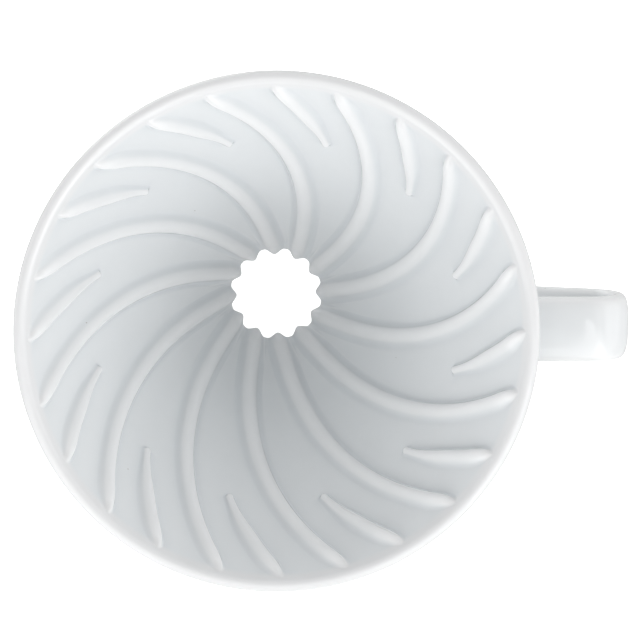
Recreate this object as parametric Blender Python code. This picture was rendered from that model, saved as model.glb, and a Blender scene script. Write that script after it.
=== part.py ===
"""A glazed ceramic pour-over coffee dripper.

A 60 degree cone with swirling ribs stands on a saucer, whose foot ring drops into the mouth of a server
or a mug. A flat strap handle leaves the cone just under its rim. Each shape that the potter forms on its
own is an object of its own, and so is each band of slip that joins two of them.

The origin is on the cone's axis at the plane of the foot. +Z is up, and +X points to the handle.
Dimensions are in millimetres, and meshes are made in metres.
"""

import math

import bmesh
import bpy
import numpy as np

MM = 0.001
GAP = 0.3  # between neighbouring pieces

# Overall
HEIGHT = 102.0
RIM_RADIUS = 60.0
CONE_ANGLE = math.radians(30.0)  # between the wall and the axis
OUTLET_HEIGHT = 23.5

# Wall: the lip is the wall's round top edge, and the wall is thicker at the foot
LIP_RADIUS = 1.65
FOOT_WALL = 4.9  # across the wall, measured level, at the outlet

# Ribs: the swirl is a crest's azimuth in degrees by its radius, as the terms 1, r, r**2 and r**-3
SECTORS = 12
SWIRL = (5.04, 0.0781, 0.01246, -5240.0)
RIB_HALF_WIDTH = 2.3
RIB_CREST_HALF_WIDTH = 0.95
RIB_HEIGHT = 2.1  # measured level
RIB_HEIGHT_AT_OUTLET = 1.6
RIB_FADE_START = 4.5  # below the rim
RIB_FADE_END = 1.6
SHORT_RIB_LEAD = 14.4  # degrees ahead of the long rib
SHORT_RIB_START = 23.2  # height of its lower end, below the rim
SHORT_RIB_END_LENGTH = 1.8
SHORT_RIB_ROOM = 0.62  # share of the space between long ribs that a short rib's columns may fill

# Saucer
SAUCER_RADIUS = 48.0
SAUCER_UNDERSIDE = 12.5  # the land that rests on a server's rim
SEAT_DEPTH = 0.4  # the foot ring's seat is let this far into the underside
SEAT_RADIUS = 34.0
SAUCER_EDGE = 4.4  # thickness at its edge
SAUCER_SHOULDER = 17.6  # height of the plate's top where the hub's sweep meets it
HUB_BORE_RADIUS = 14.5
HUB_EDGE = 0.6  # bevel of the bore's edges
HUB_RADIUS = 20.8
HUB_WAIST_RADIUS = 22.6  # the hub's sweep bends in to here
HUB_SWEEP_RADIUS = 33.0
WINDOW_INNER = 21.2
WINDOW_OUTER = 27.2
WINDOW_HALF_ANGLE = math.radians(33.0)

# Foot ring
FOOT_INNER = 29.5
FOOT_OUTER = 33.2
FOOT_TAPER = 0.5
FOOT_EDGE = 1.2  # rounding of its lower edges
SEAT = SAUCER_UNDERSIDE + SEAT_DEPTH

# Slip in the corners between the turned pieces
HUB_SLIP_HEIGHT = 4.4
HUB_SLIP_WAIST = (18.9, 1.6)  # the radius and the height above the hub that its face bends in to
FOOT_SLIP_REACH = 1.7
FOOT_SLIP_HOLLOW = 0.5  # how near its face bends in to the corner

# Handle: a strap bent in the XZ plane
STRAP_WIDTH = 15.2
STRAP_THICKNESS = 4.8
STRAP_SQUARENESS = 2.8  # power of the superellipse of its section
STRAP_TOP = 11.3  # depth of the upper leg's middle below the rim
BEND_RADIUS = 8.0
BEND_CENTRE_X = 72.9
LOWER_LEG_SLOPE = math.radians(20.8)
UPPER_COLLAR = 5.0  # along the strap, from the cone to the end of the strap
LOWER_COLLAR = 8.0
SLIP_FILLET = 2.8

# Mesh density
RING_SEGMENTS = 72
SECTION_POINTS = 20

PORCELAIN = (0.88, 0.89, 0.88)


def clear_scene():
    for ob in list(bpy.data.objects):
        bpy.data.objects.remove(ob, do_unlink=True)


def ceramic(name, colour, roughness):
    """A glazed white ceramic."""
    mat = bpy.data.materials.new(name)
    mat.use_nodes = True
    shader = mat.node_tree.nodes["Principled BSDF"]
    shader.inputs["Base Color"].default_value = (*colour, 1.0)
    shader.inputs["Roughness"].default_value = roughness
    shader.inputs["Metallic"].default_value = 0.0
    return mat


def skin(rings, joined=True, twist=0):
    """A closed mesh through rings of points. The last ring joins the first if joined, the first moved on by
    twist points; otherwise both ends are closed by strips between points that face each other."""
    bm = bmesh.new()
    rows = [[bm.verts.new([c * MM for c in point]) for point in ring] for ring in rings]
    count = len(rows[0])
    pairs = list(zip(rows, rows[1:]))
    if joined:
        pairs.append((rows[-1], rows[0][twist:] + rows[0][:twist]))
    for low, high in pairs:
        for i in range(count):
            j = (i + 1) % count
            bm.faces.new((low[i], low[j], high[j], high[i]))
    if not joined:
        for ring in (rows[0], rows[-1]):
            close_end(bm, ring)
    bmesh.ops.recalc_face_normals(bm, faces=bm.faces)
    return bm


def close_end(bm, ring):
    """Strips across a section whose points run round from one edge of the strap, over it and back under."""
    half = len(ring) // 2
    over = ring[: half + 1]
    under = [ring[0]] + ring[:half - 1:-1]
    for i in range(half):
        corners = (over[i], over[i + 1], under[i + 1], under[i])
        bm.faces.new(list(dict.fromkeys(corners)))


def turned(profile, segments=RING_SEGMENTS):
    """A closed outline of (radius, height) points, turned about Z."""
    bm = bmesh.new()
    verts = [bm.verts.new((r * MM, 0.0, z * MM)) for r, z in profile]
    edges = [bm.edges.new((a, b)) for a, b in zip(verts, verts[1:] + verts[:1])]
    bmesh.ops.spin(
        bm,
        geom=verts + edges,
        cent=(0.0, 0.0, 0.0),
        axis=(0.0, 0.0, 1.0),
        angle=math.tau,
        steps=segments,
        use_merge=True,
    )
    bmesh.ops.recalc_face_normals(bm, faces=bm.faces)
    return bm


def add_object(name, bm, material):
    mesh = bpy.data.meshes.new(name)
    bm.to_mesh(mesh)
    bm.free()
    mesh.materials.append(material)
    mesh.shade_smooth()
    mesh.set_sharp_from_angle(angle=math.radians(40.0))
    ob = bpy.data.objects.new(name, mesh)
    bpy.context.scene.collection.objects.link(ob)
    return ob


def arc(centre, radius, start, end, steps):
    """Points of an arc in a plane, from start to end in radians."""
    angles = np.linspace(start, end, steps + 1)
    return [(centre[0] + radius * math.cos(a), centre[1] + radius * math.sin(a)) for a in angles]


def bezier(a, b, c, steps):
    """Points of the curve that leaves a towards b and reaches c from b."""
    t = np.linspace(0.0, 1.0, steps + 1)[:, None]
    return [tuple(p) for p in (1 - t) ** 2 * np.array(a) + 2 * t * (1 - t) * np.array(b) + t**2 * np.array(c)]


def smooth_step(x):
    x = min(max(x, 0.0), 1.0)
    return x * x * (3.0 - 2.0 * x)


# The wall's section: a round lip, a straight inner wall at the cone's angle, and a straight outer wall that
# touches the lip and ends at the foot of the cone.
LIP_CENTRE = (RIM_RADIUS - LIP_RADIUS, HEIGHT - LIP_RADIUS)


def inner_radius(z):
    at_lip = LIP_CENTRE[0] - LIP_RADIUS / math.cos(CONE_ANGLE)
    return at_lip - (LIP_CENTRE[1] - z) * math.tan(CONE_ANGLE)


FOOT_RADIUS = inner_radius(OUTLET_HEIGHT) + FOOT_WALL


def outer_slope():
    """Angle above level of the outer wall."""
    dr = LIP_CENTRE[0] - FOOT_RADIUS
    dz = LIP_CENTRE[1] - OUTLET_HEIGHT
    return math.atan2(dz, dr) - math.asin(LIP_RADIUS / math.hypot(dr, dz))


OUTER_SLOPE = outer_slope()


def outer_radius(z):
    return FOOT_RADIUS + (z - OUTLET_HEIGHT) / math.tan(OUTER_SLOPE)


# Ribs


def rib_height(z):
    """How far a long rib's crest stands out from the wall, measured level."""
    near_outlet = smooth_step((z - OUTLET_HEIGHT) / 12.0)
    full = RIB_HEIGHT_AT_OUTLET + (RIB_HEIGHT - RIB_HEIGHT_AT_OUTLET) * near_outlet
    return full * smooth_step((HEIGHT - RIB_FADE_END - z) / (RIB_FADE_START - RIB_FADE_END))


def short_rib_height(z):
    start = HEIGHT - SHORT_RIB_START
    return rib_height(z) * smooth_step((z - start) / SHORT_RIB_END_LENGTH)


def swirl(z):
    """Azimuth in degrees of a long rib's crest at height z."""
    r = inner_radius(z) - RIB_HEIGHT
    return SWIRL[0] + SWIRL[1] * r + SWIRL[2] * r**2 + SWIRL[3] / r**3


def half_angle(z, half_width):
    """Half a rib's width, in degrees of azimuth. The swirl makes it wider than straight across."""
    r = inner_radius(z)
    crest = r - RIB_HEIGHT
    per_mm = math.radians(SWIRL[1] + 2.0 * SWIRL[2] * crest - 3.0 * SWIRL[3] / crest**4)
    stretch = math.hypot(1.0, r * per_mm * math.sin(CONE_ANGLE))
    return math.degrees(half_width * stretch / r)


def sector_columns(z):
    """(azimuth in degrees from the long rib's crest, how far it stands out) across one sector."""
    base = half_angle(z, RIB_HALF_WIDTH)
    crest = half_angle(z, RIB_CREST_HALF_WIDTH)
    # low down, the short rib's columns only fill the space that the long ribs leave
    room = min(1.0, SHORT_RIB_ROOM * (360.0 / SECTORS / 2.0 - base) / base)
    tall, short = rib_height(z), short_rib_height(z)
    lead = SHORT_RIB_LEAD
    columns = [(-base, 0.0), (-crest, tall), (crest, tall), (base, 0.0)]
    columns.append(((base + lead - base * room) / 2.0, 0.0))
    columns += [(lead - base * room, 0.0), (lead - crest * room, short)]
    columns += [(lead + crest * room, short), (lead + base * room, 0.0)]
    columns.append(((lead + base * room + 360.0 / SECTORS - base) / 2.0, 0.0))
    return columns


def inner_row(z):
    """One row of points round the ribbed inner wall."""
    row = []
    for sector in range(SECTORS):
        start = swirl(z) + sector * 360.0 / SECTORS
        for turn, proud in sector_columns(z):
            angle = math.radians(start + turn)
            r = inner_radius(z) - proud
            row.append((r * math.cos(angle), r * math.sin(angle), z))
    return row


def inner_heights():
    short_start = HEIGHT - SHORT_RIB_START
    fade_start = HEIGHT - RIB_FADE_START
    lip_start = LIP_CENTRE[1] + LIP_RADIUS * math.sin(CONE_ANGLE)
    low = list(np.linspace(OUTLET_HEIGHT, short_start, 11))
    middle = list(np.linspace(short_start + SHORT_RIB_END_LENGTH, fade_start, 4))
    fade = list(np.linspace(fade_start, HEIGHT - RIB_FADE_END, 4))[1:]
    return low + middle + fade + [lip_start]


def make_cone(material):
    rings = [inner_row(z) for z in inner_heights()]
    count = len(rings[0])
    first = [math.atan2(y, x) for x, y, _ in rings[-1]]
    even = [first[0] + i * math.tau / count for i in range(count)]
    uneven = np.unwrap(first)
    # round the lip, the ribs' columns ease into evenly spaced ones
    lip = arc(LIP_CENTRE, LIP_RADIUS, math.pi - CONE_ANGLE, OUTER_SLOPE - math.pi / 2.0, 6)[1:]
    outside = [(outer_radius(z), z) for z in np.linspace(lip[-1][1], OUTLET_HEIGHT, 4)[1:]]
    for i, (r, z) in enumerate(lip + outside):
        ease = smooth_step((i + 1) / len(lip))
        angles = [u + (e - u) * ease for u, e in zip(uneven, even)]
        rings.append([(r * math.cos(a), r * math.sin(a), z) for a in angles])
    # the outer wall's columns run straight down, so at the outlet they meet other columns of the swirl
    lowest = np.unwrap([math.atan2(y, x) for x, y, _ in rings[0]])
    turn = (even[0] - lowest[0]) % math.tau
    twist = int(np.searchsorted(lowest - lowest[0], turn))
    return add_object("filter_cone", skin(rings, twist=twist), material)


def make_saucer(material):
    round_edge = SAUCER_EDGE / 2.0
    hub_top = OUTLET_HEIGHT - GAP
    edge_centre = (SAUCER_RADIUS - round_edge, SAUCER_UNDERSIDE + round_edge)
    waist = (HUB_WAIST_RADIUS, SAUCER_SHOULDER)
    profile = [(HUB_BORE_RADIUS, SEAT + HUB_EDGE), (HUB_BORE_RADIUS, hub_top - HUB_EDGE)]
    profile.append((HUB_BORE_RADIUS + HUB_EDGE, hub_top))
    profile += bezier((HUB_RADIUS, hub_top), waist, (HUB_SWEEP_RADIUS, SAUCER_SHOULDER), 6)
    profile += arc(edge_centre, round_edge, math.pi / 2, -math.pi / 2, 6)
    profile += [(SEAT_RADIUS, SAUCER_UNDERSIDE), (SEAT_RADIUS - SEAT_DEPTH, SEAT)]
    profile.append((HUB_BORE_RADIUS + HUB_EDGE, SEAT))
    saucer = add_object("base_saucer", turned(profile), material)
    for side in (1, -1):
        cutter = make_window_cutter(side, material)
        cut = saucer.modifiers.new("sight_window", "BOOLEAN")
        cut.operation = "DIFFERENCE"
        cut.solver = "EXACT"
        cut.object = cutter
    return saucer


def make_window_cutter(side, material):
    """A kidney-shaped bar, which cuts the window through which the brew's level is watched."""
    middle = (WINDOW_INNER + WINDOW_OUTER) / 2.0
    end = (WINDOW_OUTER - WINDOW_INNER) / 2.0
    facing = side * math.pi / 2.0
    low, high = facing - WINDOW_HALF_ANGLE, facing + WINDOW_HALF_ANGLE
    outline = arc((0, 0), WINDOW_OUTER, low, high, 10)
    outline += arc((middle * math.cos(high), middle * math.sin(high)), end, high, high + math.pi, 6)[1:-1]
    outline += arc((0, 0), WINDOW_INNER, high, low, 10)
    outline += arc((middle * math.cos(low), middle * math.sin(low)), end, low + math.pi, low + math.tau, 6)[1:-1]
    bm = bmesh.new()
    below, above = SAUCER_UNDERSIDE - 4.0, OUTLET_HEIGHT + 8.0
    face = bm.faces.new([bm.verts.new((x * MM, y * MM, below * MM)) for x, y in outline])
    lifted = bmesh.ops.extrude_face_region(bm, geom=[face])["geom"]
    top = [v for v in lifted if isinstance(v, bmesh.types.BMVert)]
    bmesh.ops.translate(bm, verts=top, vec=(0.0, 0.0, (above - below) * MM))
    bmesh.ops.recalc_face_normals(bm, faces=bm.faces)
    cutter = add_object("window_cutter_" + ("front" if side < 0 else "back"), bm, material)
    cutter.hide_render = True
    cutter.display_type = "WIRE"
    return cutter


def make_foot_ring(material):
    top = SEAT - GAP
    low_outer = FOOT_OUTER - FOOT_TAPER
    profile = [(FOOT_INNER, top), (FOOT_INNER, FOOT_EDGE)]
    profile += arc((FOOT_INNER + FOOT_EDGE, FOOT_EDGE), FOOT_EDGE, math.pi, 1.5 * math.pi, 3)[1:]
    profile += arc((low_outer - FOOT_EDGE, FOOT_EDGE), FOOT_EDGE, -math.pi / 2, 0.0, 3)
    profile.append((FOOT_OUTER, top))
    return add_object("foot_ring", turned(profile), material)


# Handle


def strap_section(grow=0.0):
    """(across, outward) points round the strap's section, made larger by grow all round."""
    points = []
    for i in range(SECTION_POINTS):
        a = math.tau * i / SECTION_POINTS
        c, s = math.cos(a), math.sin(a)
        power = 2.0 / STRAP_SQUARENESS
        across = math.copysign(abs(c) ** power, c) * (STRAP_WIDTH / 2.0 + grow)
        outward = math.copysign(abs(s) ** power, s) * (STRAP_THICKNESS / 2.0 + grow)
        points.append((across, outward))
    return points


def placed(centre, along, across_and_out):
    """A section's points in space. along is the strap's direction in the XZ plane, from the cone."""
    cx, cz = centre
    ax, az = along
    return [(cx - az * n, y, cz + ax * n) for y, n in across_and_out]


def to_cone(point, along, clearance):
    """How far point lies along the strap's direction from the cone's outer wall and its clearance."""
    low, high = -40.0, 40.0
    for _ in range(50):
        middle = (low + high) / 2.0
        x, z = point[0] - middle * along[0], point[2] - middle * along[1]
        if math.hypot(x, point[1]) > outer_radius(z) + clearance:
            low = middle
        else:
            high = middle
    return low


BEND_CENTRE = (BEND_CENTRE_X, HEIGHT - STRAP_TOP - BEND_RADIUS)
UPPER_WAY = (1.0, 0.0)
LOWER_WAY = (math.cos(LOWER_LEG_SLOPE), math.sin(LOWER_LEG_SLOPE))


def leg_start(bend_point, along, collar):
    """The middle of the strap's end, collar away from the cone."""
    reach = to_cone((bend_point[0], 0.0, bend_point[1]), along, 0.0) - collar
    return (bend_point[0] - reach * along[0], bend_point[1] - reach * along[1])


def strap_line():
    """(middle, direction) stations from the upper end, round the bend, to the lower end."""
    bend_end = LOWER_LEG_SLOPE - math.pi / 2.0
    bend = arc(BEND_CENTRE, BEND_RADIUS, math.pi / 2.0, bend_end, 14)
    angles = np.linspace(math.pi / 2.0, bend_end, 15)
    upper = leg_start(bend[0], UPPER_WAY, UPPER_COLLAR)
    lower = leg_start(bend[-1], LOWER_WAY, LOWER_COLLAR)
    line = [(upper, UPPER_WAY)]
    line += [(point, (math.sin(a), -math.cos(a))) for point, a in zip(bend, angles)]
    line.append((lower, (-LOWER_WAY[0], -LOWER_WAY[1])))
    return line


def make_handle(material):
    rings = [placed(middle, along, strap_section()) for middle, along in strap_line()]
    return add_object("handle", skin(rings, joined=False), material)


def make_collar(name, start, along, material):
    """The slip round the end of the strap, spread out where it meets the cone."""
    start = (start[0] - GAP * along[0], start[1] - GAP * along[1])
    rings = []
    for step in np.linspace(0.0, 1.0, 6):
        # a quarter circle: no spread at the strap, and the fillet's full radius on the cone
        grow = SLIP_FILLET * (1.0 - math.cos(step**2 * math.pi / 2.0))
        ring = placed(start, along, strap_section(grow))
        moved = []
        for x, y, z in ring:
            back = to_cone((x, y, z), along, GAP) * step
            moved.append((x - back * along[0], y, z - back * along[1]))
        rings.append(moved)
    return add_object(name, skin(rings, joined=False), material)


# Slip rings


def make_saucer_joint(material):
    """The slip in the corner between the hub and the foot of the cone."""
    low, high = OUTLET_HEIGHT, OUTLET_HEIGHT + HUB_SLIP_HEIGHT
    waist = (HUB_SLIP_WAIST[0], low + HUB_SLIP_WAIST[1])
    wall = GAP / math.sin(OUTER_SLOPE)
    inner_low = (outer_radius(low) + wall, low)
    inner_high = (outer_radius(high) + wall, high)
    face = bezier((HUB_RADIUS - GAP, low), waist, (inner_high[0] + GAP, high), 5)
    return add_object("saucer_joint", turned([inner_high, inner_low] + face), material)


def make_foot_ring_joint(material):
    """The slip in the corner inside the foot ring, under the saucer."""
    corner = (FOOT_INNER - GAP, SEAT - GAP)
    low = (corner[0], corner[1] - FOOT_SLIP_REACH)
    far = (corner[0] - FOOT_SLIP_REACH, corner[1])
    face = bezier(far, (corner[0] - FOOT_SLIP_HOLLOW, corner[1] - FOOT_SLIP_HOLLOW), low, 4)
    return add_object("foot_ring_joint", turned([corner] + face), material)


def main():
    clear_scene()
    glaze = ceramic("white_glaze", PORCELAIN, 0.16)
    rest_glaze = ceramic("foot_glaze", PORCELAIN, 0.35)
    slip = ceramic("glazed_slip", PORCELAIN, 0.2)
    make_cone(glaze)
    make_saucer(glaze)
    make_foot_ring(rest_glaze)
    make_handle(glaze)
    line = strap_line()
    make_collar("upper_handle_joint", line[0][0], UPPER_WAY, slip)
    make_collar("lower_handle_joint", line[-1][0], LOWER_WAY, slip)
    make_saucer_joint(slip)
    make_foot_ring_joint(slip)


main()
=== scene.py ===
"""The looks of a glazed white ceramic pour-over dripper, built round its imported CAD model.

The fine meshes repeat the CAD's design in metres. The cone's axis is the frame's Z axis, the foot stands on
z = 0, and the handle points along +X.
"""

import math

import bmesh
import bpy
import numpy as np
from mathutils import Matrix, Vector
from mathutils.geometry import delaunay_2d_cdt


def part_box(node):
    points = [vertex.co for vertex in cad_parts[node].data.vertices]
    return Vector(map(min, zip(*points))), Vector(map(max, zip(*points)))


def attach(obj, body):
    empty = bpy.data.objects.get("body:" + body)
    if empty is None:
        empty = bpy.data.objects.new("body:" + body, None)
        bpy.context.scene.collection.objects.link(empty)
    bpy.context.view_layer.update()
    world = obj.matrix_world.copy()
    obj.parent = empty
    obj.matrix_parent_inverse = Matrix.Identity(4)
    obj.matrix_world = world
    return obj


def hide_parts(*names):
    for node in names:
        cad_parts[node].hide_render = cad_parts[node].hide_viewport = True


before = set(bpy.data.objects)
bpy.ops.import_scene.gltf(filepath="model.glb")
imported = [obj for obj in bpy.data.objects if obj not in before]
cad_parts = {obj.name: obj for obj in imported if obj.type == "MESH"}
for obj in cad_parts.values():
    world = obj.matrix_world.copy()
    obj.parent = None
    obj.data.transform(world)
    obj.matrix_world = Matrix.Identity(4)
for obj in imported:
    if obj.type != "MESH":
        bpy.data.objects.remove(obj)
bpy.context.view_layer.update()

MM = 0.001

# The cone, from the CAD's box and the design's own numbers
cone_low, cone_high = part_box("filter_cone")
RIM = cone_high.z
OUTLET = cone_low.z
RIM_RADIUS = round(cone_high.y, 4)
CONE_ANGLE = math.radians(30.0)
LIP = 1.65 * MM
FOOT_WALL = 4.9 * MM
FOOT_CORNER = 1.0 * MM
OUTLET_EDGE = 0.5 * MM  # rounding of the outlet's edge
OUTLET_BEAD = OUTLET_EDGE * math.tan(CONE_ANGLE)  # how far the glaze thickens the wall above that edge
OUTLET_BEAD_LENGTH = 4.0 * MM

# The ribs: a round crown, which meets the wall in a fillet at each side
SECTORS = 12
SWIRL = (5.04, 0.0781, 0.01246, -5240.0)  # crest's azimuth in degrees: terms in 1, r, r**2, r**-3, r in mm
RIB_HEIGHT = 2.1 * MM  # measured level
RIB_TALL = RIB_HEIGHT * math.cos(CONE_ANGLE)  # measured square to the wall
RIB_CROWN = 2.6 * MM
RIB_FILLET = 2.0 * MM
RIB_SLIMMING = 0.2  # share of its width that a rib loses on its way up
SLIMMING_START = OUTLET + 20.0 * MM
RIB_HEIGHT_AT_OUTLET = 1.62 * MM
RIB_GROWTH = 12.0 * MM  # a rib reaches its full height this far up from the outlet
SCALLOP_REACH = 2.7 * MM  # at the outlet the ribs are soft waves, this far from crest to hollow
SCALLOP_LENGTH = 4.5 * MM
RIB_TOP = RIM - 1.5 * MM
RIB_TOP_ROUND = 4.5 * MM  # length of its rounded upper end
SHORT_RIB_LEAD = 14.4
SHORT_RIB_START = RIM - 22.6 * MM
SHORT_RIB_TIP = 0.52  # size of its lower end, as a share of the full rib
SHORT_RIB_TAPER = 15.0 * MM

# The handle: a strap bent in the XZ plane
STRAP_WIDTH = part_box("handle")[1].y * 2.0
STRAP_THICKNESS = 4.8 * MM
STRAP_SQUARENESS = 2.8
BEND_RADIUS = 8.0 * MM
BEND_CENTRE = (72.9 * MM, RIM - 11.3 * MM - BEND_RADIUS)
LOWER_LEG_SLOPE = math.radians(20.8)
UPPER_FILLET = 2.8 * MM
FLARE_LENGTH = 6.0 * MM

# The saucer and the foot ring
saucer_low, saucer_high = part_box("base_saucer")
SAUCER_RADIUS = saucer_high.x
SAUCER_UNDERSIDE = saucer_low.z
SAUCER_EDGE = 4.4 * MM
SHOULDER = 17.6 * MM
SEAT_DEPTH = 0.4 * MM
SEAT_RADIUS = 34.0 * MM
SEAT = SAUCER_UNDERSIDE + SEAT_DEPTH
HUB_BORE = 14.5 * MM
HUB_TOP = saucer_high.z
HUB_RADIUS = 20.8 * MM
HUB_WAIST = 22.6 * MM
HUB_SWEEP = 33.0 * MM
WINDOW_MIDDLE = 24.2 * MM
WINDOW_HALF_WIDTH = 3.0 * MM
WINDOW_HALF_ANGLE = math.radians(33.0)
SOFT_EDGE = 0.8 * MM  # rounding of the windows and the bore under the glaze
foot_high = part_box("foot_ring")[1]
FOOT_OUTER = foot_high.x
FOOT_INNER = 29.5 * MM
FOOT_TAPER = 0.5 * MM
FOOT_EDGE = 1.2 * MM

# The camera stands over the rim, a little towards +Y, and looks down
CAMERA_PLACE = Vector((-2.08 * MM, 67.03 * MM, RIM + 448.96 * MM))
CAMERA_RIGHT = Vector((0.999665, 0.001807, 0.025802))
CAMERA_UP = Vector((0.001807, 0.990241, -0.139353))
CAMERA_LENS = 112.5
CAMERA_SENSOR = 36.0

# Light: softboxes in rings round the object, as elevation, azimuth and power
SOFTBOXES = [
    (70.0, 240.0, 2.6),
    (45.0, 0.0, 0.8),
    (45.0, 225.0, 2.8),
    (45.0, 270.0, 0.65),
    (45.0, 315.0, 3.5),
    (20.0, 0.0, 3.1),
    (20.0, 45.0, 2.0),
    (20.0, 90.0, 2.1),
    (20.0, 135.0, 1.5),
    (20.0, 180.0, 1.3),
    (20.0, 225.0, 4.5),
    (20.0, 315.0, 2.9),
    (-20.0, 120.0, 4.5),  # through the table, whose bounce it stands for
]
SOFTBOX_AIM = Vector((0.0, 0.0, 60.0 * MM))
SOFTBOX_DISTANCE = 1.2
SOFTBOX_DIAMETER = 1.0
SKY = 0.2
TABLE = 0.65  # the world below the horizon, where a white table's light comes from
HORIZON = 0.1  # sine of the elevation that the sky and the table blend within
WHITE = (1.0, 1.0, 1.0, 1.0)
FLOOR_GLOW = 0.9
FLOOR_REACH = 6.0
FLOOR_LEVEL = -0.2 * MM
REFLECTOR_GLOW = 1.8
REFLECTOR_CORNERS = [
    Vector((0.266, -0.06, 1.28)),
    Vector((0.95, -0.40, 0.95)),
    Vector((0.80, -1.00, 0.50)),
    Vector((0.25, -1.02, 0.70)),
    Vector((0.238, -0.57, 1.14)),
]


# Meshes


def skin(rings, joined=True, twist=0):
    """A closed mesh through rings of points. The last ring joins the first if joined, the first moved on by
    twist points; otherwise the ends are closed with a fan round their middle."""
    bm = bmesh.new()
    rows = [[bm.verts.new(point) for point in ring] for ring in rings]
    count = len(rows[0])
    pairs = list(zip(rows, rows[1:]))
    if joined:
        pairs.append((rows[-1], rows[0][twist:] + rows[0][:twist]))
    for low, high in pairs:
        for i in range(count):
            j = (i + 1) % count
            bm.faces.new((low[i], low[j], high[j], high[i]))
    if not joined:
        for ring in (rows[0], rows[-1]):
            middle = bm.verts.new(sum((v.co for v in ring), Vector()) / count)
            for i in range(count):
                bm.faces.new((ring[i], ring[(i + 1) % count], middle))
    bmesh.ops.recalc_face_normals(bm, faces=bm.faces)
    return bm


def ring_of(radius, angles, z):
    """A level ring of points about Z. radius is one number, or one for each angle."""
    radii = np.broadcast_to(radius, len(angles))
    return [(r * math.cos(a), r * math.sin(a), z) for r, a in zip(radii, angles)]


def turned(profile, segments=256):
    """A closed outline of (radius, height) points, turned about Z."""
    angles = np.linspace(0.0, math.tau, segments, endpoint=False)
    return skin([ring_of(r, angles, z) for r, z in profile])


def arc(centre, radius, start, end, steps):
    angles = np.linspace(start, end, steps + 1)
    return [(centre[0] + radius * math.cos(a), centre[1] + radius * math.sin(a)) for a in angles]


def bezier(a, b, c, steps):
    """Points of the curve that leaves a towards b and reaches c from b."""
    t = np.linspace(0.0, 1.0, steps + 1)[:, None]
    a, b, c = np.array(a), np.array(b), np.array(c)
    return [tuple(p) for p in (1 - t) ** 2 * a + 2 * t * (1 - t) * b + t**2 * c]


def smooth_step(x):
    x = np.clip(x, 0.0, 1.0)
    return x * x * (3.0 - 2.0 * x)


def add_hollowness(mesh, radius=1.5 * MM, rounds=3):
    """A point attribute that is 1 where the surface is as hollow as a fillet of this radius, where glaze pools
    and the colour is darkened as painted shade, and -1 where it is as sharp as an edge of this radius, where
    glaze runs thin and the colour is lightened as painted light."""
    count = len(mesh.vertices)
    places = np.empty(count * 3)
    mesh.vertices.foreach_get("co", places)
    places = places.reshape(-1, 3)
    normals = np.array([v.normal for v in mesh.vertices])
    ends = np.empty(len(mesh.edges) * 2, dtype=int)
    mesh.edges.foreach_get("vertices", ends)
    ends = ends.reshape(-1, 2)
    across = places[ends[:, 1]] - places[ends[:, 0]]
    length = np.maximum((across**2).sum(axis=1), 1e-12)
    bend = np.zeros(count)
    degree = np.zeros(count)
    for here, sign in ((0, 1.0), (1, -1.0)):
        at = ends[:, here]
        np.add.at(bend, at, 2.0 * sign * (across * normals[at]).sum(axis=1) / length)
        np.add.at(degree, at, 1.0)
    depth = np.clip(2.0 * radius * bend / degree, -1.0, 1.0)
    for _ in range(rounds):
        total = depth.copy()
        np.add.at(total, ends[:, 0], depth[ends[:, 1]])
        np.add.at(total, ends[:, 1], depth[ends[:, 0]])
        depth = total / (degree + 1.0)
    layer = mesh.attributes.new("hollowness", "FLOAT", "POINT")
    layer.data.foreach_set("value", depth)


def add_object(name, data):
    thing = bpy.data.objects.new(name, data)
    bpy.context.scene.collection.objects.link(thing)
    return thing


def add_piece(name, bm, material, nodes, sharp=60.0):
    """A piece of the object, which stands for the CAD nodes and rides with the ceramic body."""
    mesh = bpy.data.meshes.new(name)
    bm.to_mesh(mesh)
    bm.free()
    mesh.materials.append(material)
    mesh.shade_smooth()
    mesh.set_sharp_from_angle(angle=math.radians(sharp))
    add_hollowness(mesh)
    piece = add_object(name, mesh)
    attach(piece, "root")
    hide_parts(*nodes)
    return piece


# The wall's section

LIP_CENTRE = (RIM_RADIUS - LIP, RIM - LIP)


def inner_radius(z):
    at_lip = LIP_CENTRE[0] - LIP / math.cos(CONE_ANGLE)
    return at_lip - (LIP_CENTRE[1] - z) * math.tan(CONE_ANGLE)


FOOT_RADIUS = inner_radius(OUTLET) + FOOT_WALL
FOOT_TO_LIP = (LIP_CENTRE[0] - FOOT_RADIUS, LIP_CENTRE[1] - OUTLET)
OUTER_SLOPE = math.atan2(FOOT_TO_LIP[1], FOOT_TO_LIP[0]) - math.asin(LIP / math.hypot(*FOOT_TO_LIP))


def outer_radius(z):
    return FOOT_RADIUS + (z - OUTLET) / math.tan(OUTER_SLOPE)


# Ribs

RIB_REACH = math.sqrt((RIB_CROWN + RIB_FILLET) ** 2 - (RIB_TALL - RIB_CROWN - RIB_FILLET) ** 2)
CROWN_REACH = RIB_REACH * RIB_CROWN / (RIB_CROWN + RIB_FILLET)


def crown_and_fillets(distance):
    """A rib's height at this distance across from its crest, as a share of the crest's."""
    d = np.abs(distance)
    crown = RIB_TALL - RIB_CROWN + np.sqrt(np.maximum(RIB_CROWN**2 - d**2, 0.0))
    fillet = RIB_FILLET - np.sqrt(np.maximum(RIB_FILLET**2 - (RIB_REACH - d) ** 2, 0.0))
    return np.where(d < CROWN_REACH, crown, np.where(d < RIB_REACH, fillet, 0.0)) / RIB_TALL


def scallop(distance):
    """The same for the soft wave that a rib has become at the outlet."""
    x = np.clip(np.abs(distance) / SCALLOP_REACH, 0.0, 1.0)
    return (1.0 - x * x) ** 2


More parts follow.
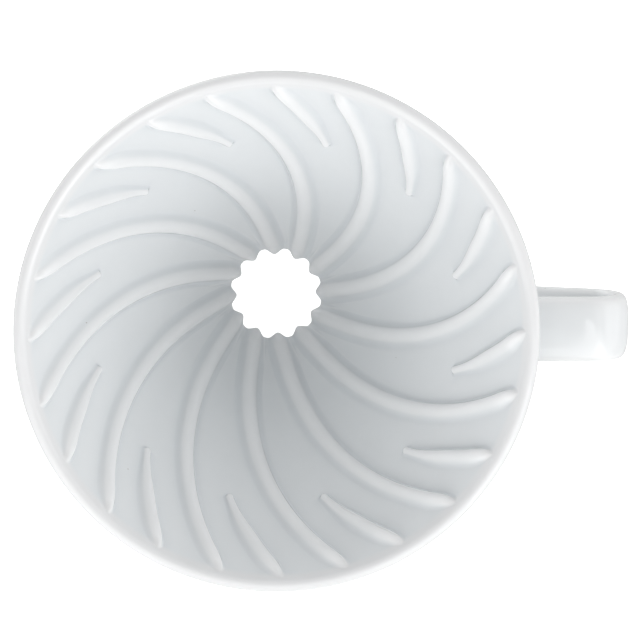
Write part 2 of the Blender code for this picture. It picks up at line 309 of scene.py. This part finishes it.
def rib_columns():
    """Distances from the crest of a rib's columns: even steps round its crown and its fillets."""
    on_crown = RIB_CROWN * np.sin(np.linspace(0.0, math.asin(CROWN_REACH / RIB_CROWN), 9))
    steepest = math.asin((RIB_REACH - CROWN_REACH) / RIB_FILLET)
    in_fillet = RIB_REACH - RIB_FILLET * np.sin(np.linspace(steepest, 0.0, 6))
    half = np.concatenate([on_crown, in_fillet[1:]])
    return np.concatenate([-half[:0:-1], half])


RIB_COLUMNS = rib_columns()


def swirl(z):
    """Azimuth in radians of a long rib's crest at height z."""
    r = (inner_radius(z) - RIB_HEIGHT) / MM
    return math.radians(SWIRL[0] + SWIRL[1] * r + SWIRL[2] * r**2 + SWIRL[3] / r**3)


def rib_lean(z):
    """The angle along the wall between a rib and the straight way up."""
    r = (inner_radius(z) - RIB_HEIGHT) / MM
    turn_per_mm = math.radians(SWIRL[1] + 2.0 * SWIRL[2] * r - 3.0 * SWIRL[3] / r**4)
    return math.atan(inner_radius(z) / MM * turn_per_mm * math.sin(CONE_ANGLE))


def rib_height(z):
    """How far a long rib's crest stands out below its upper end, measured level."""
    near_outlet = smooth_step((z - OUTLET) / RIB_GROWTH)
    return RIB_HEIGHT_AT_OUTLET + (RIB_HEIGHT - RIB_HEIGHT_AT_OUTLET) * near_outlet


def upper_end(z):
    """A rib's size at its rounded upper end, as a share of its size below."""
    return math.sqrt(1.0 - (1.0 - min(max((RIB_TOP - z) / RIB_TOP_ROUND, 0.0), 1.0)) ** 2)


def rib_width(z):
    """A rib's width as a share of its width low down."""
    return 1.0 - RIB_SLIMMING * float(smooth_step((z - SLIMMING_START) / (RIM - SLIMMING_START)))


def long_rib(z, across):
    """A long rib's height at this distance across from its crest."""
    rounded = smooth_step((z - OUTLET) / SCALLOP_LENGTH)
    size = max(upper_end(z), 0.001)
    profile = crown_and_fillets(across / (rib_width(z) * size)) * rounded + scallop(across) * (1.0 - rounded)
    return rib_height(z) * size * profile


def short_rib_size(z):
    """A short rib's size at its crest, as a share of a long rib's. It tapers to its lower end."""
    way_up = (z - SHORT_RIB_START) / math.cos(CONE_ANGLE) / math.cos(rib_lean(z))
    return SHORT_RIB_TIP + (1.0 - SHORT_RIB_TIP) * float(smooth_step(way_up / SHORT_RIB_TAPER))


def short_rib(z, across):
    """A short rib's height at this distance across from its crest's line, with a round lower end."""
    lean = rib_lean(z)
    size = max(short_rib_size(z) * upper_end(z), 0.001)
    beyond = (SHORT_RIB_START - z) / math.cos(CONE_ANGLE) / math.cos(lean) - across * math.tan(lean)
    distance = np.hypot(across, np.maximum(beyond, 0.0))
    return RIB_HEIGHT * size * crown_and_fillets(distance / (rib_width(z) * size))


# How the wall's columns share a sector, as the ribs crowd together near the outlet
LONG_RIB_SHARE = 0.42  # of the sector, at most, for one side of the long rib's columns
SHORT_RIB_SHARE = 0.8  # of what the long rib leaves free, at most, for one side of the short rib's
LEAST_COLUMNS_WIDTH = 0.3  # of the full width, at a rib's rounded upper end


def inner_row(z):
    """Azimuths and radii of the points round the ribbed inner wall at height z."""
    # radians of azimuth per metre straight across a rib
    per = 1.0 / (inner_radius(z) * math.cos(rib_lean(z)))
    sector = math.tau / SECTORS
    lead = math.radians(SHORT_RIB_LEAD)
    width = rib_width(z) * max(upper_end(z), LEAST_COLUMNS_WIDTH)
    long_columns = RIB_COLUMNS * min(width * per, LONG_RIB_SHARE * sector / RIB_REACH)
    room = (sector / 2.0 + long_columns[0]) * SHORT_RIB_SHARE
    short_columns = RIB_COLUMNS * min(width * short_rib_size(z) * per, room / RIB_REACH)
    gaps = [
        np.linspace(long_columns[-1], lead + short_columns[0], 7)[1:-1],
        np.linspace(lead + short_columns[-1], sector + long_columns[0], 7)[1:-1],
    ]
    offsets = np.concatenate([long_columns, gaps[0], lead + short_columns, gaps[1]])
    to_long = (offsets + sector / 2.0) % sector - sector / 2.0
    to_short = (offsets - lead + sector / 2.0) % sector - sector / 2.0
    proud = long_rib(z, to_long / per) + short_rib(z, to_short / per)
    bead = OUTLET_BEAD * smooth_step((OUTLET + OUTLET_BEAD_LENGTH - z) / (OUTLET_BEAD_LENGTH - OUTLET_EDGE))
    angles = np.concatenate([swirl(z) + k * sector + offsets for k in range(SECTORS)])
    return angles, inner_radius(z) - bead - np.tile(proud, SECTORS)


def inner_heights():
    end = 2.0 * MM
    stops = [
        (OUTLET + OUTLET_EDGE, OUTLET + 6.0 * MM, 16),
        (OUTLET + 6.0 * MM, SHORT_RIB_START - end, 44),
        (SHORT_RIB_START - end, SHORT_RIB_START + end, 24),
        (SHORT_RIB_START + end, RIB_TOP - RIB_TOP_ROUND, 22),
        (RIB_TOP - RIB_TOP_ROUND, LIP_CENTRE[1] + LIP * math.sin(CONE_ANGLE), 22),
    ]
    return np.concatenate([np.linspace(a, b, n, endpoint=False) for a, b, n in stops] + [[stops[-1][1]]])


def make_cone():
    heights = inner_heights()
    angles, throat = inner_row(heights[0])
    rings = []
    for t in np.linspace(math.pi / 2.0, 0.0, 7)[:-1]:
        back, up = OUTLET_EDGE * (1.0 - math.cos(t)), OUTLET_EDGE * (1.0 - math.sin(t))
        rings.append(ring_of(throat + back, angles, OUTLET + up))
    for z in heights:
        uneven, radius = inner_row(z)
        rings.append(ring_of(radius, uneven, z))
    even = uneven[0] + np.linspace(0.0, math.tau, len(uneven), endpoint=False)
    # round the lip, the ribs' columns ease into evenly spaced ones
    lip = arc(LIP_CENTRE, LIP, math.pi - CONE_ANGLE, OUTER_SLOPE - math.pi / 2.0, 24)[1:]
    corner = (outer_radius(OUTLET + FOOT_CORNER) - FOOT_CORNER, OUTLET + FOOT_CORNER)
    outside = [(outer_radius(z), z) for z in np.linspace(lip[-1][1], corner[1], 30)[1:]]
    outside += arc(corner, FOOT_CORNER, 0.0, -math.pi / 2.0, 6)[1:]
    for i, (r, z) in enumerate(lip + outside):
        ease = smooth_step((i + 1) / len(lip))
        rings.append(ring_of(r, uneven + (even - uneven) * ease, z))
    # the outer columns run straight down, and meet other columns of the swirl at the outlet
    turn = (even[0] - angles[0]) % math.tau
    twist = int(np.searchsorted(angles - angles[0], turn))
    return skin(rings, twist=twist)


# The handle


def strap_section(grow, steps=64):
    """(across, outward) points round the strap's section, made larger by grow all round."""
    points = []
    for i in range(steps):
        a = math.tau * i / steps
        c, s = math.cos(a), math.sin(a)
        power = 2.0 / STRAP_SQUARENESS
        across = math.copysign(abs(c) ** power, c) * (STRAP_WIDTH / 2.0 + grow)
        outward = math.copysign(abs(s) ** power, s) * (STRAP_THICKNESS / 2.0 + grow)
        points.append((across, outward))
    return points


def placed(centre, along, section):
    """A section's points in space. along is the strap's direction in the XZ plane, from the cone."""
    return [(centre[0] - along[1] * n, y, centre[1] + along[0] * n) for y, n in section]


def to_cone(point, along, depth):
    """How far point lies along the strap's direction from a surface depth inside the cone's outer wall."""
    low, high = -0.05, 0.05
    for _ in range(40):
        middle = (low + high) / 2.0
        x, z = point[0] - middle * along[0], point[2] - middle * along[1]
        if math.hypot(x, point[1]) > outer_radius(z) - depth:
            low = middle
        else:
            high = middle
    return low


def flared_end(start, along, depth=0.4 * MM):
    """Rings from the strap's end to the cone, spreading into a fillet."""
    rings = []
    for step in np.linspace(1.0, 0.0, 22):
        grow = UPPER_FILLET * (1.0 - math.cos(step**2.2 * math.pi / 2.0))
        ring = placed(start, along, strap_section(grow))
        moved = []
        for x, y, z in ring:
            back = to_cone((x, y, z), along, depth) * step
            moved.append((x - back * along[0], y, z - back * along[1]))
        rings.append(moved)
    return rings


def make_handle():
    upper_way = (1.0, 0.0)
    lower_way = (math.cos(LOWER_LEG_SLOPE), math.sin(LOWER_LEG_SLOPE))
    bend_end = LOWER_LEG_SLOPE - math.pi / 2.0
    angles = np.linspace(math.pi / 2.0, bend_end, 49)
    bend = arc(BEND_CENTRE, BEND_RADIUS, math.pi / 2.0, bend_end, 48)
    starts = []
    for point, way in ((bend[0], upper_way), (bend[-1], lower_way)):
        reach = to_cone((point[0], 0.0, point[1]), way, 0.0) - FLARE_LENGTH
        starts.append((point[0] - reach * way[0], point[1] - reach * way[1]))
    upper, lower = starts
    rings = flared_end(upper, upper_way)
    section = strap_section(0.0)
    for share in np.linspace(0.0, 1.0, 10)[1:]:
        x = upper[0] + (bend[0][0] - upper[0]) * share
        rings.append(placed((x, upper[1]), upper_way, section))
    for point, a in list(zip(bend, angles))[1:]:
        rings.append(placed(point, (math.sin(a), -math.cos(a)), section))
    back = (-lower_way[0], -lower_way[1])
    for share in np.linspace(0.0, 1.0, 16)[1:-1]:
        x = bend[-1][0] + (lower[0] - bend[-1][0]) * share
        z = bend[-1][1] + (lower[1] - bend[-1][1]) * share
        rings.append(placed((x, z), back, section))
    end = flared_end(lower, lower_way)
    mirrored = [[ring[(-i) % len(ring)] for i in range(len(ring))] for ring in end]
    rings += mirrored[::-1]
    return skin(rings, joined=False)


# The saucer, the slip and the foot


def from_window(x, y):
    """Distance in the plane from the nearer window's outline: kidney shapes that face +Y and -Y."""
    turn = abs(math.atan2(x, abs(y)))
    if turn < WINDOW_HALF_ANGLE:
        return abs(math.hypot(x, y) - WINDOW_MIDDLE) - WINDOW_HALF_WIDTH
    end = (WINDOW_MIDDLE * math.sin(WINDOW_HALF_ANGLE), WINDOW_MIDDLE * math.cos(WINDOW_HALF_ANGLE))
    return math.hypot(abs(x) - end[0], abs(y) - end[1]) - WINDOW_HALF_WIDTH


def window_outline(side, grow, steps=28):
    """A window's outline, moved outwards by grow. side is 1 for the window that faces +Y."""
    facing = side * math.pi / 2.0
    low, high = facing - WINDOW_HALF_ANGLE, facing + WINDOW_HALF_ANGLE
    reach = WINDOW_HALF_WIDTH + grow
    ends = [(WINDOW_MIDDLE * math.cos(a), WINDOW_MIDDLE * math.sin(a)) for a in (high, low)]
    outline = arc((0.0, 0.0), WINDOW_MIDDLE + reach, low, high, 2 * steps)[:-1]
    outline += arc(ends[0], reach, high, high + math.pi, steps)[:-1]
    outline += arc((0.0, 0.0), WINDOW_MIDDLE - reach, high, low, 2 * steps)[:-1]
    outline += arc(ends[1], reach, low + math.pi, low + math.tau, steps)[:-1]
    return outline


def hub_sweep():
    """Radii and heights of the saucer's top, from the hub out to the plate."""
    curve = bezier((HUB_RADIUS, HUB_TOP), (HUB_WAIST, SHOULDER), (HUB_SWEEP, SHOULDER), 40)
    return [p[0] for p in curve], [p[1] for p in curve]


SWEEP = hub_sweep()
RIM_ROUND = SAUCER_EDGE / 2.0
RIM_MIDDLE = (SAUCER_RADIUS - RIM_ROUND, SAUCER_UNDERSIDE + RIM_ROUND)


def softened(distance):
    """How far a rounded edge falls away at this distance from it."""
    short = SOFT_EDGE - min(distance, SOFT_EDGE)
    return SOFT_EDGE - math.sqrt(SOFT_EDGE**2 - short**2)


def saucer_top(r):
    if r > RIM_MIDDLE[0]:
        return RIM_MIDDLE[1] + math.sqrt(max(RIM_ROUND**2 - (r - RIM_MIDDLE[0]) ** 2, 0.0))
    plate = SAUCER_UNDERSIDE + SAUCER_EDGE
    share = smooth_step((RIM_MIDDLE[0] - r) / (RIM_MIDDLE[0] - HUB_SWEEP))
    return float(np.interp(r, *SWEEP)) if r < HUB_SWEEP else plate + (SHOULDER - plate) * share


def saucer_below(r):
    if r > RIM_MIDDLE[0]:
        return RIM_MIDDLE[1] - math.sqrt(max(RIM_ROUND**2 - (r - RIM_MIDDLE[0]) ** 2, 0.0))
    return SAUCER_UNDERSIDE + SEAT_DEPTH * float(smooth_step((SEAT_RADIUS - r) / SEAT_DEPTH))


def saucer_plan():
    """Points and triangles of the saucer seen from above: rings about the axis and round each window."""
    points, loops = [], []

    def add_loop(outline):
        loops.append(range(len(points), len(points) + len(outline)))
        points.extend(outline)

    angles = np.linspace(0.0, math.tau, 240, endpoint=False)
    near_edge = SOFT_EDGE * (1.0 - np.cos(np.linspace(0.0, math.pi / 2.0, 7)))
    rim = RIM_MIDDLE[0] + RIM_ROUND * np.sin(np.linspace(0.0, math.pi / 2.0, 10))
    add_loop([(HUB_BORE * math.cos(a), HUB_BORE * math.sin(a)) for a in angles])
    add_loop([(SAUCER_RADIUS * math.cos(a), SAUCER_RADIUS * math.sin(a)) for a in angles])
    for side in (1.0, -1.0):
        add_loop(window_outline(side, 0.0))
    for side in (1.0, -1.0):
        for grow in (*near_edge[1:], SOFT_EDGE * 1.4):
            points.extend(window_outline(side, grow))
    radii = np.concatenate([
        HUB_BORE + near_edge[1:],
        np.linspace(HUB_BORE + 1.5 * SOFT_EDGE, SEAT_RADIUS - 1.5 * SEAT_DEPTH, 24),
        np.linspace(SEAT_RADIUS - SEAT_DEPTH, SEAT_RADIUS, 4),
        np.linspace(SEAT_RADIUS + SEAT_DEPTH, RIM_MIDDLE[0], 14)[:-1],
        rim[:-1],
    ])
    for r in radii:
        for a in angles:
            x, y = r * math.cos(a), r * math.sin(a)
            if from_window(x, y) > 1.8 * SOFT_EDGE:
                points.append((x, y))
    edges = [(loop[i], loop[(i + 1) % len(loop)]) for loop in loops for i in range(len(loop))]
    plan = [Vector(p) / MM for p in points]
    flat, _, faces, *_ = delaunay_2d_cdt(plan, edges, [], 0, 1e-5)
    flat = [(p.x * MM, p.y * MM) for p in flat]
    kept = []
    for face in faces:
        x, y = (sum(flat[i][k] for i in face) / 3.0 for k in (0, 1))
        if math.hypot(x, y) > HUB_BORE * 0.9999 and from_window(x, y) > 0.0:
            kept.append(face)
    return flat, kept


def make_saucer():
    flat, faces = saucer_plan()
    bm = bmesh.new()
    top, below = [], []
    for x, y in flat:
        r = math.hypot(x, y)
        fall = softened(max(min(from_window(x, y), r - HUB_BORE), 0.0))
        top.append(bm.verts.new((x, y, saucer_top(r) - fall)))
        below.append(bm.verts.new((x, y, saucer_below(r) + fall)))
    for a, b, c in faces:
        bm.faces.new((top[a], top[b], top[c]))
        bm.faces.new((below[c], below[b], below[a]))
    partner = dict(zip(top, below))
    partner.update(zip(below, top))
    open_edges = [e for e in bm.edges if e.is_boundary]
    upper = set(top)
    for edge in open_edges:
        a, b = edge.verts
        if a in upper:
            bm.faces.new((a, b, partner[b], partner[a]))
    loose = [v for v in bm.verts if not v.link_faces]
    bmesh.ops.delete(bm, geom=loose, context="VERTS")
    bmesh.ops.remove_doubles(bm, verts=bm.verts, dist=1e-6)
    bmesh.ops.dissolve_degenerate(bm, dist=1e-7, edges=bm.edges)
    bmesh.ops.recalc_face_normals(bm, faces=bm.faces)
    return bm


def make_hub_fillet():
    """The slip round the cone's foot, from the hub's edge up the outer wall, and a little inside both."""
    low, high = HUB_TOP - 0.2 * MM, OUTLET + 5.2 * MM
    inside = 0.5 * MM
    start, end = (HUB_RADIUS + 0.15 * MM, low), (outer_radius(high), high)
    hollow = (18.6 * MM, OUTLET + 1.4 * MM)
    profile = [(end[0] - inside, high), (outer_radius(OUTLET + 0.3 * MM) - inside, low)]
    return turned(profile + bezier(start, hollow, end, 16))


def make_foot():
    top = SEAT + 0.2 * MM
    low_outer = FOOT_OUTER - FOOT_TAPER
    profile = [(FOOT_INNER, z) for z in np.linspace(top, FOOT_EDGE, 14)]
    profile += arc((FOOT_INNER + FOOT_EDGE, FOOT_EDGE), FOOT_EDGE, math.pi, 1.5 * math.pi, 8)[1:]
    profile += arc((low_outer - FOOT_EDGE, FOOT_EDGE), FOOT_EDGE, -math.pi / 2, 0.0, 8)
    rise = np.linspace(FOOT_EDGE, top, 14)[1:]
    profile += [(low_outer + FOOT_TAPER * (z - FOOT_EDGE) / (top - FOOT_EDGE), z) for z in rise]
    return turned(profile)


def make_foot_fillet():
    """The slip inside the corner of the foot ring and the saucer, and a little inside both."""
    corner = (FOOT_INNER + 0.2 * MM, SEAT + 0.2 * MM)
    reach, hollow = 2.2 * MM, 0.5 * MM
    start, end = (corner[0] - reach, corner[1]), (corner[0], corner[1] - reach)
    return turned([corner] + bezier(start, (corner[0] - hollow, corner[1] - hollow), end, 10))


# Materials

# Glaze tones: the thin glaze on the ribs' crests is partly painted light, and the glaze in hollows partly
# painted shade.
THIN_GLAZE_AND_PAINTED_LIGHT = (0.864, 0.873, 0.879, 1.0)
EVEN_GLAZE = (0.794, 0.816, 0.828, 1.0)
POOLED_GLAZE_AND_PAINTED_SHADE = (0.731, 0.759, 0.778, 1.0)
# the lip's tone is painted shade that dulls the lip's top
LIP_GLAZE_AND_PAINTED_SHADE = (0.815, 0.821, 0.827, 1.0)
PINHOLE = (0.42, 0.39, 0.35, 1.0)
BISCUIT = (0.66, 0.62, 0.555, 1.0)
CLOUD_SIZE = 11.0 * MM
STREAK_SIZE = 2.2 * MM
PEEL_SIZE = 0.7 * MM
GRAIN_SIZE = 0.12 * MM
PINHOLE_SPACING = 5.0 * MM
PINHOLE_SIZE = 0.035  # as a share of the spacing
PINHOLE_RARITY = 0.95  # share of the places for a pinhole that have none
LAND = (0.1 * MM, 0.22 * MM)  # heights that the bare land fades out between
LIP_SHADE_BAND = (RIM - 2.8 * MM, RIM - 1.6 * MM)  # heights that the lip's painted shade fades in between


def add_node(owner, kind, inputs, **settings):
    """A node whose sockets take values, or the outputs of other nodes. owner is a material or a world."""
    node = owner.node_tree.nodes.new(kind)
    for key, value in settings.items():
        setattr(node, key, value)
    for key, value in inputs.items():
        if isinstance(value, bpy.types.NodeSocket):
            owner.node_tree.links.new(value, node.inputs[key])
        else:
            node.inputs[key].default_value = value
    return node


def calculated(mat, operation, *values):
    return add_node(mat, "ShaderNodeMath", dict(enumerate(values)), operation=operation).outputs[0]


def noise(mat, place, size, detail):
    """Noise from 0 to 1 whose lumps are about size across."""
    inputs = {"Vector": place, "Scale": 0.5 / size, "Detail": detail}
    return add_node(mat, "ShaderNodeTexNoise", inputs).outputs[0]


def mixed(mat, share, low, high):
    node = add_node(mat, "ShaderNodeMix", {0: share, 6: low, 7: high}, data_type="RGBA")
    return node.outputs[2]


def bumped(mat, height, depth, normal=None):
    """The normal of a surface whose height runs over this depth in metres."""
    inputs = {"Height": height, "Distance": depth}
    if normal:
        inputs["Normal"] = normal
    return add_node(mat, "ShaderNodeBump", inputs).outputs[0]


def glaze(name, bare_land=False):
    """White glaze over porcelain: bluer and darker in the hollows, where it pools, and paler on the ribs'
    crests, where it runs thin; both are partly painted shade in the hollows and painted light on the crests.
    It is a little warmer and darker on the lip, which is painted shade on the lip's top. It has the slight
    waves and orange peel of a poured glaze and a few pinholes. The land that stood on the kiln's shelf can be
    bare."""
    mat = bpy.data.materials.new(name)
    mat.use_nodes = True
    shader = mat.node_tree.nodes["Principled BSDF"]
    shader.inputs["IOR"].default_value = 1.5
    place = add_node(mat, "ShaderNodeTexCoord", {}).outputs["Object"]
    depth = add_node(mat, "ShaderNodeAttribute", {}, attribute_name="hollowness").outputs["Fac"]
    clouds = noise(mat, place, CLOUD_SIZE, 2.0)
    streaks = noise(mat, place, STREAK_SIZE, 1.0)

    # Darker in hollows and paler on crests: partly the glaze's own pooling and thinning, partly painted shade
    # in the hollows and painted light on the crests.
    pooling_and_shade = calculated(mat, "MULTIPLY_ADD", depth, 0.5, 0.37)
    pooling_and_shade = calculated(mat, "MULTIPLY_ADD", clouds, 0.18, pooling_and_shade)
    pooling_and_shade = calculated(mat, "MULTIPLY_ADD", streaks, 0.08, pooling_and_shade)
    ramp = add_node(mat, "ShaderNodeValToRGB", {"Fac": pooling_and_shade})
    stops = ramp.color_ramp.elements
    stops[0].position, stops[0].color = 0.2, THIN_GLAZE_AND_PAINTED_LIGHT
    stops[1].position, stops[1].color = 0.88, POOLED_GLAZE_AND_PAINTED_SHADE
    stops.new(0.5).color = EVEN_GLAZE
    height = add_node(mat, "ShaderNodeSeparateXYZ", {0: place}).outputs[2]
    # The lip is painted a little darker: painted shade on its top.
    on_lip = add_node(mat, "ShaderNodeMapRange", {0: height, 1: LIP_SHADE_BAND[0], 2: LIP_SHADE_BAND[1]}).outputs[0]
    colour = mixed(mat, on_lip, ramp.outputs[0], LIP_GLAZE_AND_PAINTED_SHADE)

    cells = add_node(mat, "ShaderNodeTexVoronoi", {"Vector": place, "Scale": 1.0 / PINHOLE_SPACING})
    lot = add_node(mat, "ShaderNodeSeparateColor", {0: cells.outputs["Color"]}).outputs[0]
    rare = calculated(mat, "GREATER_THAN", lot, PINHOLE_RARITY)
    near = calculated(mat, "LESS_THAN", cells.outputs["Distance"], PINHOLE_SIZE)
    pinhole = calculated(mat, "MULTIPLY", rare, near)
    colour = mixed(mat, calculated(mat, "MULTIPLY", pinhole, 0.7), colour, PINHOLE)

    roughness = calculated(mat, "MULTIPLY_ADD", streaks, 0.03, 0.035)
    roughness = calculated(mat, "MULTIPLY_ADD", depth, -0.01, roughness)
    normal = bumped(mat, clouds, 0.02 * MM)
    normal = bumped(mat, noise(mat, place, PEEL_SIZE, 0.0), 0.002 * MM, normal)
    normal = bumped(mat, pinhole, -0.03 * MM, normal)

    if bare_land:
        ragged = calculated(mat, "MULTIPLY_ADD", streaks, -0.5 * MM, height)
        edge = {0: ragged, 1: LAND[0], 2: LAND[1], 3: 1.0, 4: 0.0}
        bare = add_node(mat, "ShaderNodeMapRange", edge).outputs[0]
        grain = noise(mat, place, GRAIN_SIZE, 2.0)
        clay = mixed(mat, calculated(mat, "MULTIPLY", grain, 0.4), BISCUIT, PINHOLE)
        colour = mixed(mat, bare, colour, clay)
        roughness = calculated(mat, "MULTIPLY_ADD", bare, 0.65, roughness)
        normal = bumped(mat, calculated(mat, "MULTIPLY", grain, bare), 0.03 * MM, normal)

    mat.node_tree.links.new(colour, shader.inputs["Base Color"])
    mat.node_tree.links.new(roughness, shader.inputs["Roughness"])
    mat.node_tree.links.new(normal, shader.inputs["Normal"])
    return mat


# The stage


def make_camera():
    camera = add_object("camera", bpy.data.cameras.new("camera"))
    back = CAMERA_RIGHT.cross(CAMERA_UP)
    turn = Matrix((CAMERA_RIGHT, CAMERA_UP, back)).transposed()
    camera.matrix_world = Matrix.Translation(CAMERA_PLACE) @ turn.to_4x4()
    camera.data.lens = CAMERA_LENS
    camera.data.sensor_width = CAMERA_SENSOR
    camera.data.clip_start = 0.01
    camera.data.clip_end = 50.0
    bpy.context.scene.camera = camera


def glowing(name, strength):
    """A material that gives off white light of this strength, and its shader."""
    mat = bpy.data.materials.new(name)
    mat.use_nodes = True
    shader = mat.node_tree.nodes["Principled BSDF"]
    shader.inputs["Emission Color"].default_value = WHITE
    shader.inputs["Emission Strength"].default_value = strength
    return mat, shader


def make_floor():
    """A white floor, clear from below."""
    mesh = bpy.data.meshes.new("floor")
    bm = bmesh.new()
    bmesh.ops.create_grid(bm, x_segments=1, y_segments=1, size=FLOOR_REACH)
    bm.to_mesh(mesh)
    bm.free()
    floor = add_object("floor", mesh)
    floor.location.z = FLOOR_LEVEL
    # the softboxes and the world light the object, and the floor takes no part in that
    floor.visible_diffuse = False
    floor.visible_glossy = False
    floor.visible_shadow = False
    mat, shader = glowing("pale_floor", FLOOR_GLOW)
    shader.inputs["Base Color"].default_value = (0.9, 0.9, 0.9, 1.0)
    shader.inputs["Roughness"].default_value = 0.6
    clear = add_node(mat, "ShaderNodeBsdfTransparent", {}).outputs[0]
    below = add_node(mat, "ShaderNodeNewGeometry", {}).outputs["Backfacing"]
    seen = add_node(mat, "ShaderNodeMixShader", {0: below, 1: shader.outputs[0], 2: clear}).outputs[0]
    mat.node_tree.links.new(seen, mat.node_tree.nodes["Material Output"].inputs["Surface"])
    mesh.materials.append(mat)


def add_softbox(elevation, azimuth, power):
    light = bpy.data.lights.new("softbox", "AREA")
    light.shape = "DISK"
    light.size = SOFTBOX_DIAMETER
    light.energy = power
    lamp = add_object("softbox", light)
    a, e = math.radians(azimuth), math.radians(elevation)
    out = Vector((math.cos(a) * math.cos(e), math.sin(a) * math.cos(e), math.sin(e)))
    lamp.location = SOFTBOX_AIM + out * SOFTBOX_DISTANCE
    lamp.rotation_mode = "QUATERNION"
    lamp.rotation_quaternion = (-out).to_track_quat("-Z", "Y")
    lamp.visible_camera = False


def make_reflector():
    """A card high up beside the handle. Only the glaze's reflections show it, as a pale patch on the strap."""
    mesh = bpy.data.meshes.new("reflector")
    mesh.from_pydata(REFLECTOR_CORNERS, [], [range(len(REFLECTOR_CORNERS))])
    card = add_object("reflector", mesh)
    card.visible_camera = False
    card.visible_diffuse = False
    card.visible_shadow = False
    mesh.materials.append(glowing("lit_card", REFLECTOR_GLOW)[0])


def make_light():
    world = bpy.data.worlds.new("studio")
    bpy.context.scene.world = world
    world.use_nodes = True
    sky = world.node_tree.nodes["Background"]
    sky.inputs["Color"].default_value = WHITE
    way = add_node(world, "ShaderNodeTexCoord", {}).outputs["Generated"]
    height = add_node(world, "ShaderNodeSeparateXYZ", {0: way}).outputs[2]
    blend = {0: height, 1: -HORIZON, 2: HORIZON, 3: TABLE, 4: SKY}
    strength = add_node(world, "ShaderNodeMapRange", blend).outputs[0]
    world.node_tree.links.new(strength, sky.inputs["Strength"])
    for softbox in SOFTBOXES:
        add_softbox(*softbox)
    bpy.context.scene.view_settings.view_transform = "Standard"


make_camera()
white = glaze("white_glaze")
bare_footed = glaze("glaze_with_bare_land", bare_land=True)
handle_nodes = ["handle", "upper_handle_joint", "lower_handle_joint"]
add_piece("cone", make_cone(), white, ["filter_cone"])
add_piece("strap_handle", make_handle(), white, handle_nodes)
add_piece("saucer", make_saucer(), white, ["base_saucer"])
add_piece("hub_fillet", make_hub_fillet(), white, ["saucer_joint"])
add_piece("foot", make_foot(), bare_footed, ["foot_ring"])
add_piece("foot_fillet", make_foot_fillet(), white, ["foot_ring_joint"])
make_floor()
make_reflector()
make_light()
